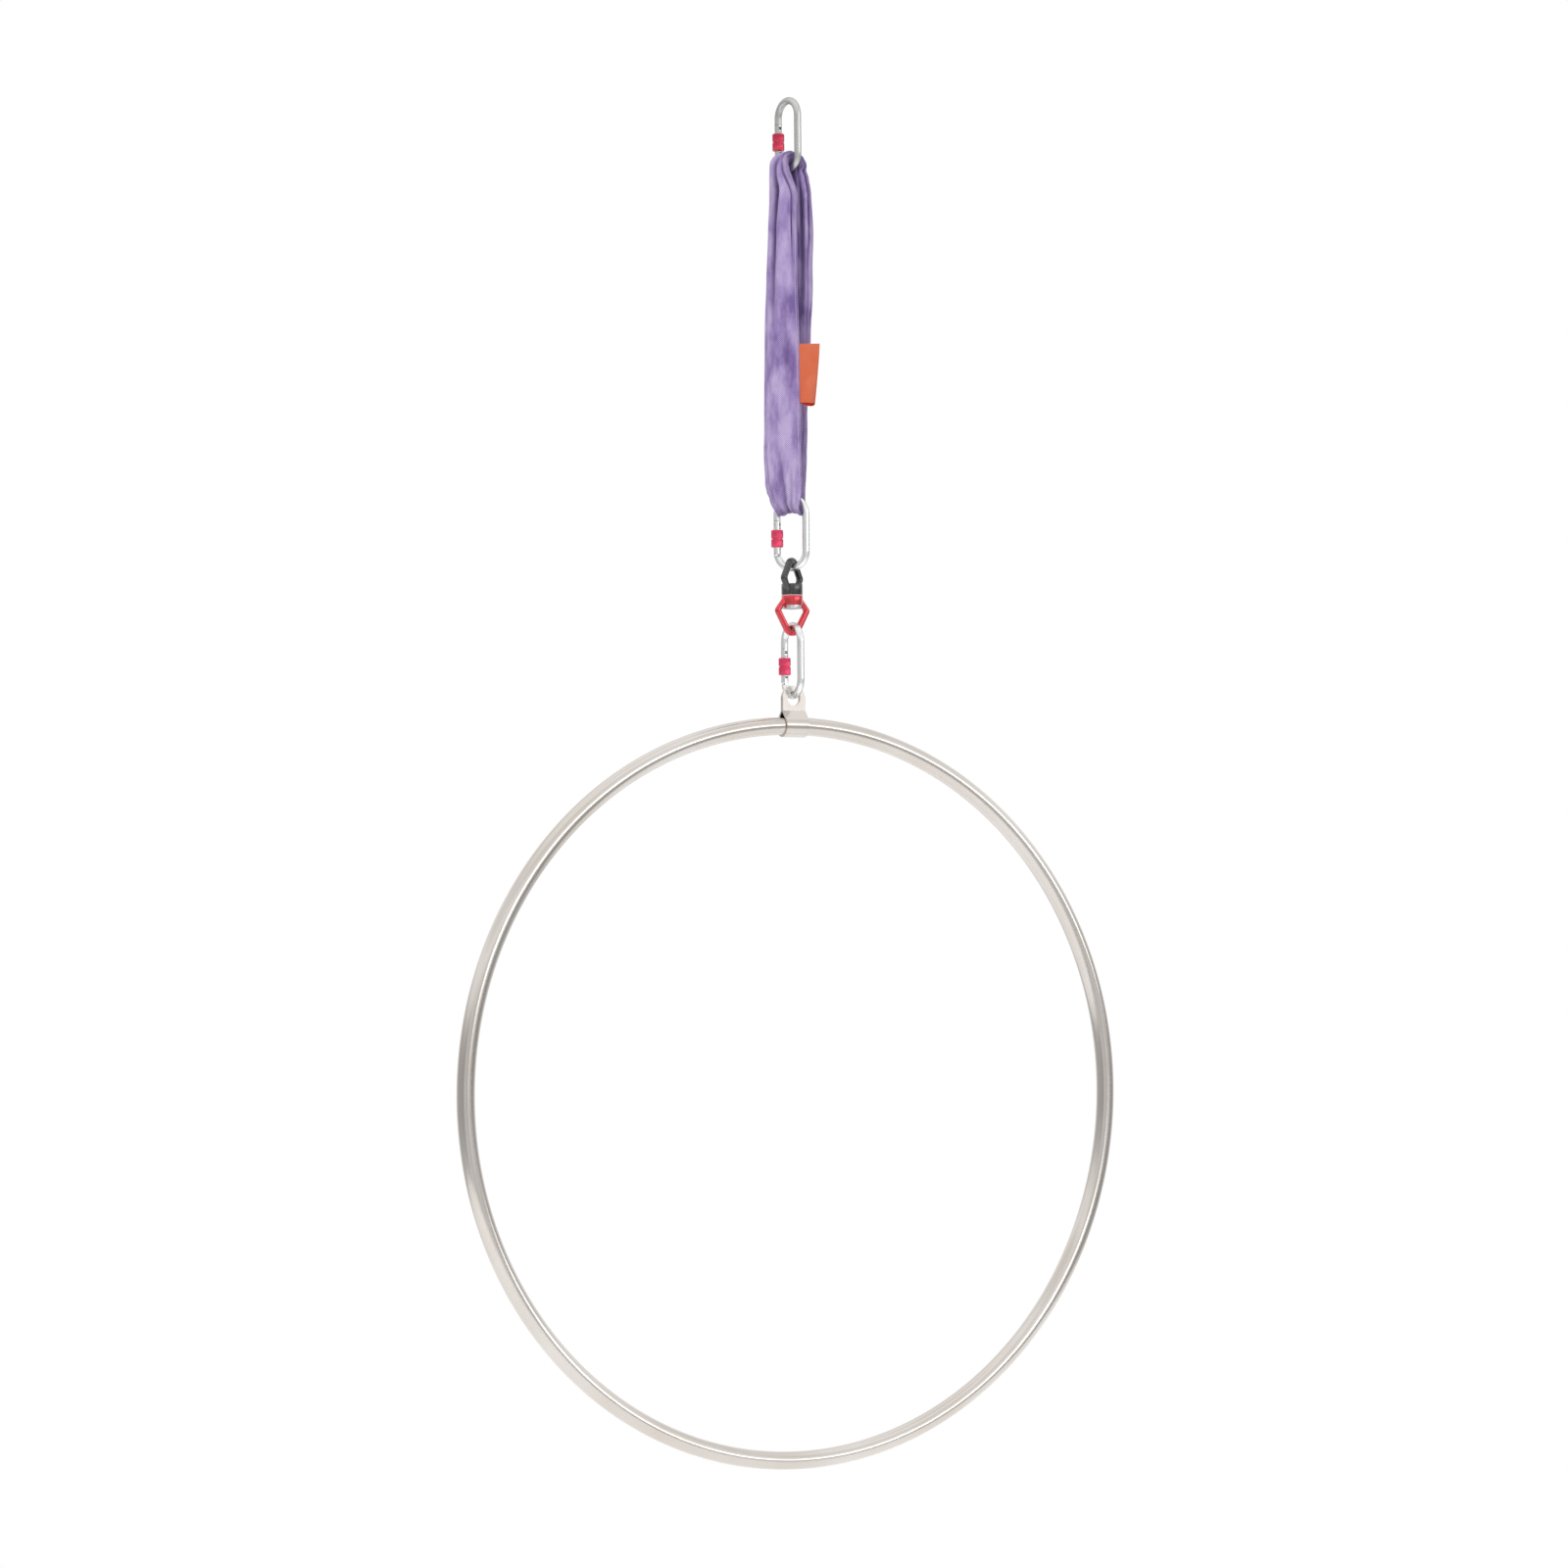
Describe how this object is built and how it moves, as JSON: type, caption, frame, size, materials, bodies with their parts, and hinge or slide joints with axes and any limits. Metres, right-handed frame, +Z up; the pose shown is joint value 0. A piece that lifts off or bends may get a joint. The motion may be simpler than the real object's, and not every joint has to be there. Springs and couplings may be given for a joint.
{
  "type": "lyra hoop",
  "caption": "Aerial ring of bent tube on a strap tab, hung from screw-gate carabiners, a ball-bearing swivel and a round sling, with swinging links and sprung gates.",
  "frame": {"origin": "inside of the anchor carabiner's crown, the point where the rig hangs", "axes": "+Z up, along the whole hanging length; the ring lies in the XZ plane; +Y square to the ring"},
  "size_m": [1.0488, 0.0883, 1.9239],
  "materials": {
    "satin_steel": "satin ground stainless steel tube and strap",
    "zinc_steel": "bright zinc plated steel bar",
    "bright_steel": "bright turned steel",
    "crimson_anodised": "crimson anodised aluminium",
    "pink_anodised": "pink red anodised aluminium",
    "black_anodised": "satin black anodised aluminium",
    "red_anodised": "glossy red anodised aluminium",
    "purple_polyester": "twill woven polyester with a slight sheen",
    "white_yarn": "endless polyester yarn",
    "orange_label": "plain orange woven label, folded double"
  },
  "bodies": {
    "anchor_carabiner": {"anchor_carabiner_body": "zinc_steel", "anchor_carabiner_hinge_rivet": "bright_steel"},
    "anchor_gate": {"anchor_carabiner_gate": "zinc_steel", "anchor_carabiner_latch_pin": "bright_steel", "anchor_carabiner_gate_spring": "bright_steel"},
    "anchor_plunger": {"anchor_carabiner_plunger": "bright_steel"},
    "anchor_screw_sleeve": {"anchor_carabiner_screw_sleeve": "crimson_anodised"},
    "middle_carabiner": {"middle_carabiner_body": "zinc_steel", "middle_carabiner_hinge_rivet": "bright_steel"},
    "middle_gate": {"middle_carabiner_gate": "zinc_steel", "middle_carabiner_latch_pin": "bright_steel", "middle_carabiner_gate_spring": "bright_steel"},
    "middle_plunger": {"middle_carabiner_plunger": "bright_steel"},
    "middle_screw_sleeve": {"middle_carabiner_screw_sleeve": "pink_anodised"},
    "lower_carabiner": {"lower_carabiner_body": "zinc_steel", "lower_carabiner_hinge_rivet": "bright_steel"},
    "lower_gate": {"lower_carabiner_gate": "zinc_steel", "lower_carabiner_latch_pin": "bright_steel", "lower_carabiner_gate_spring": "bright_steel"},
    "lower_plunger": {"lower_carabiner_plunger": "bright_steel"},
    "lower_screw_sleeve": {"lower_carabiner_screw_sleeve": "pink_anodised"},
    "sling": {"sling_cover": "purple_polyester", "sling_core": "white_yarn", "sling_cover_join": "purple_polyester", "sling_label": "orange_label"},
    "swivel_upper": {"swivel_upper_eye": "black_anodised", "swivel_bolt": "bright_steel", "swivel_spacer": "bright_steel", "swivel_inner_race": "bright_steel"},
    "swivel_lower": {"swivel_lower_eye": "red_anodised", "swivel_outer_race": "bright_steel", "swivel_cap": "bright_steel"},
    "bearing_cage": {"swivel_ball_cage": "bright_steel", "swivel_ball_1": "bright_steel", "swivel_ball_2": "bright_steel", "swivel_ball_3": "bright_steel", "swivel_ball_4": "bright_steel", "swivel_ball_5": "bright_steel", "swivel_ball_6": "bright_steel", "swivel_ball_7": "bright_steel"},
    "hoop": {"hoop_tube": "satin_steel", "hoop_joint_ferrule": "satin_steel", "hoop_tab": "satin_steel"}
  },
  "joints": [
    {"name": "sling_swing", "type": "hinge", "parent": "anchor_carabiner", "child": "sling", "pos_m": [0, 0, -0.093], "axis": [0.1219, -0.9925, 0], "range_deg": [-75, 75]},
    {"name": "middle_carabiner_swing", "type": "hinge", "parent": "sling", "child": "middle_carabiner", "pos_m": [0, 0, -0.557], "axis": [-0.5299, 0.848, 0], "range_deg": [-75, 75]},
    {"name": "swivel_swing", "type": "hinge", "parent": "middle_carabiner", "child": "swivel_upper", "pos_m": [0, 0, -0.645], "axis": [0.848, 0.5299, 0], "range_deg": [-75, 75]},
    {"name": "swivel_spin", "type": "hinge", "parent": "swivel_upper", "child": "swivel_lower", "pos_m": [0, 0, -0.6934], "axis": [0, 0, 1], "continuous": true},
    {"name": "bearing_cage_spin", "type": "hinge", "parent": "swivel_upper", "child": "bearing_cage", "pos_m": [0, 0, -0.6934], "axis": [0, 0, 1], "continuous": true},
    {"name": "lower_carabiner_swing", "type": "hinge", "parent": "swivel_lower", "child": "lower_carabiner", "pos_m": [0, 0, -0.7466], "axis": [-1, 0, 0], "range_deg": [-70, 70]},
    {"name": "hoop_swing", "type": "hinge", "parent": "lower_carabiner", "child": "hoop", "pos_m": [0, 0, -0.8346], "axis": [0, 1, 0], "range_deg": [-75, 75]},
    {"name": "anchor_gate_hinge", "type": "hinge", "parent": "anchor_carabiner", "child": "anchor_gate", "pos_m": [-0.0028, 0.02283, -0.072], "axis": [0.9925, 0.1219, 0], "range_deg": [0, 28], "stiffness_Nm_per_rad": 0.25, "springref_deg": -17.19},
    {"name": "anchor_plunger_slide", "type": "slide", "parent": "anchor_gate", "child": "anchor_plunger", "axis": [0, 0, 1], "range_m": [0, 0.0017], "deforming": ["anchor_carabiner_gate_spring"]},
    {"name": "anchor_sleeve_slide", "type": "slide", "parent": "anchor_gate", "child": "anchor_screw_sleeve", "axis": [0, 0, 1], "range_m": [0, 0.014]},
    {"name": "middle_gate_hinge", "type": "hinge", "parent": "middle_carabiner", "child": "middle_gate", "pos_m": [-0.01219, 0.01951, -0.634], "axis": [0.848, 0.5299, 0], "range_deg": [0, 28], "stiffness_Nm_per_rad": 0.25, "springref_deg": -17.19},
    {"name": "middle_plunger_slide", "type": "slide", "parent": "middle_gate", "child": "middle_plunger", "axis": [0, 0, 1], "range_m": [0, 0.0017], "deforming": ["middle_carabiner_gate_spring"]},
    {"name": "middle_sleeve_slide", "type": "slide", "parent": "middle_gate", "child": "middle_screw_sleeve", "axis": [0, 0, 1], "range_m": [0, 0.014]},
    {"name": "lower_gate_hinge", "type": "hinge", "parent": "lower_carabiner", "child": "lower_gate", "pos_m": [0, 0.023, -0.8136], "axis": [1, 0, 0], "range_deg": [0, 28], "stiffness_Nm_per_rad": 0.25, "springref_deg": -17.19},
    {"name": "lower_plunger_slide", "type": "slide", "parent": "lower_gate", "child": "lower_plunger", "axis": [0, 0, 1], "range_m": [0, 0.0017], "deforming": ["lower_carabiner_gate_spring"]},
    {"name": "lower_sleeve_slide", "type": "slide", "parent": "lower_gate", "child": "lower_screw_sleeve", "axis": [0, 0, 1], "range_m": [0, 0.014]}
  ],
  "couplings": [
    {"joint": "anchor_plunger_slide", "follows": "anchor_gate_hinge", "m_per_rad": 0.003274},
    {"joint": "middle_plunger_slide", "follows": "middle_gate_hinge", "m_per_rad": 0.003274},
    {"joint": "lower_plunger_slide", "follows": "lower_gate_hinge", "m_per_rad": 0.003274},
    {"joint": "bearing_cage_spin", "follows": "swivel_spin", "ratio": 0.63158}
  ]
}
